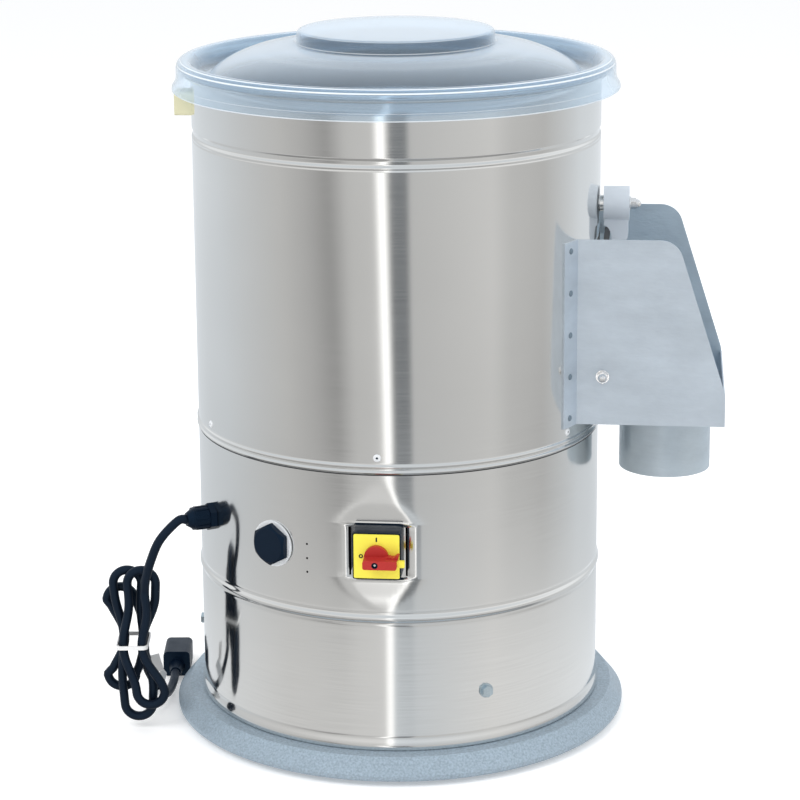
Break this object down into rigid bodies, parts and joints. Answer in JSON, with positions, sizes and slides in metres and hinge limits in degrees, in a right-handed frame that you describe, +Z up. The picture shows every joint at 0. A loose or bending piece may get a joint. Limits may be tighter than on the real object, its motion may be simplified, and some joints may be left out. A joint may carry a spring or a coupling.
{
  "type": "electric potato peeler",
  "caption": "Round upright potato peeler with a steel drum on a cast base, clear lid, rotary switch, side chute with a hinged door and latch, waste outlet and mains cord.",
  "frame": {"origin": "on the floor, at the middle of the machine's upright axis, under the base", "axes": "+Z up along the drum's axis, -Y towards the switch, +X towards the chute"},
  "size_m": [0.6135, 0.4677, 0.6925],
  "materials": {
    "cast_base": "cast, blue-grey, lightly hammered",
    "stainless_sheet": "brushed stainless sheet",
    "galvanised_sheet": "galvanised sheet, slightly mottled",
    "bright_steel": "bright machined",
    "chrome_nut": "polished nickel",
    "plated_steel": "zinc plated",
    "cast_grey": "cast",
    "painted_grey": "powder coat",
    "motor_grey": "painted casting",
    "cast_aluminium": "cast and turned",
    "abrasive": "bonded grit, rough",
    "rubber": "black rubber",
    "cord_rubber": "black flexible cord jacket",
    "black_plastic": "moulded, near black",
    "yellow_plastic": "moulded",
    "red_plastic": "moulded",
    "beige_plastic": "moulded",
    "white_plastic": "soft white",
    "pale_plastic": "moulded, pale grey",
    "clear_plastic": "clear, faintly blue",
    "brass": "turned"
  },
  "bodies": {
    "stand": {"base": "cast_base", "feet": "rubber", "lower_housing": "stainless_sheet", "base_brackets": "plated_steel", "housing_bolts": "bright_steel", "deck": "stainless_sheet", "drum": "stainless_sheet", "deck_rivets": "bright_steel", "wall_liner": "abrasive", "door_frame": "stainless_sheet", "chute_front_plate": "galvanised_sheet", "chute_back_plate": "galvanised_sheet", "chute_tray": "galvanised_sheet", "waste_tube": "stainless_sheet", "chute_rivets": "plated_steel", "hinge_pin": "bright_steel", "hinge_nuts": "chrome_nut", "bearing_housing": "cast_grey", "shaft_bearings": "bright_steel", "shaft_seal": "rubber", "bearing_bolts": "plated_steel", "motor_plate": "painted_grey", "motor_hangers": "plated_steel", "hanger_nuts": "plated_steel", "motor": "motor_grey", "capacitor": "beige_plastic", "capacitor_clip": "plated_steel", "drive_belt": "rubber", "switch_housing": "black_plastic", "switch_plate": "yellow_plastic", "switch_contacts": "black_plastic", "switch_screws": "plated_steel", "cable_gland": "black_plastic", "blanking_plug": "black_plastic", "blanking_washer": "bright_steel", "panel_locknuts": "black_plastic", "interlock_switch": "beige_plastic", "latch_stud": "bright_steel", "latch_nut": "chrome_nut", "water_inlet": "brass", "cord_lead": "cord_rubber", "cord_hank": "cord_rubber", "cord_tail": "cord_rubber", "mains_plug": "black_plastic", "plug_blades": "brass", "cord_tie": "white_plastic", "cord_tag": "white_plastic"},
    "cover": {"lid": "clear_plastic"},
    "rotor": {"peeling_disc": "cast_aluminium", "abrasive_layer": "abrasive", "disc_nut": "bright_steel", "main_shaft": "bright_steel", "driven_pulley": "cast_aluminium"},
    "armature": {"motor_shaft": "bright_steel", "motor_pulley": "cast_aluminium"},
    "chute_door": {"door": "stainless_sheet", "door_seal": "rubber"},
    "latch": {"latch_lever": "pale_plastic"},
    "handle": {"switch_handle": "red_plastic"},
    "lock": {"lock_slide": "yellow_plastic"}
  },
  "joints": [
    {"name": "lid_lift", "type": "slide", "parent": "stand", "child": "cover", "axis": [0, 0, 1], "range_m": [0, 0.25]},
    {"name": "disc_spin", "type": "hinge", "parent": "stand", "child": "rotor", "pos_m": [0, 0, 0.34], "axis": [0, 0, 1], "continuous": true},
    {"name": "motor_spin", "type": "hinge", "parent": "stand", "child": "armature", "pos_m": [0, 0.12, 0.22], "axis": [0, 0, 1], "continuous": true},
    {"name": "door_swing", "type": "hinge", "parent": "stand", "child": "chute_door", "pos_m": [0.206, 0, 0.37], "axis": [0, 1, 0], "range_deg": [0, 95]},
    {"name": "latch_turn", "type": "hinge", "parent": "stand", "child": "latch", "pos_m": [0.21, 0, 0.522], "axis": [1, 0, 0], "range_deg": [0, 90]},
    {"name": "switch_turn", "type": "hinge", "parent": "stand", "child": "handle", "pos_m": [0, -0.218, 0.225], "axis": [0, 1, 0], "range_deg": [0, 90]},
    {"name": "lock_pull", "type": "slide", "parent": "handle", "child": "lock", "axis": [1, 0, 0], "range_m": [0, 0.008]}
  ],
  "couplings": [
    {"joint": "motor_spin", "follows": "disc_spin", "ratio": 5.2778}
  ]
}
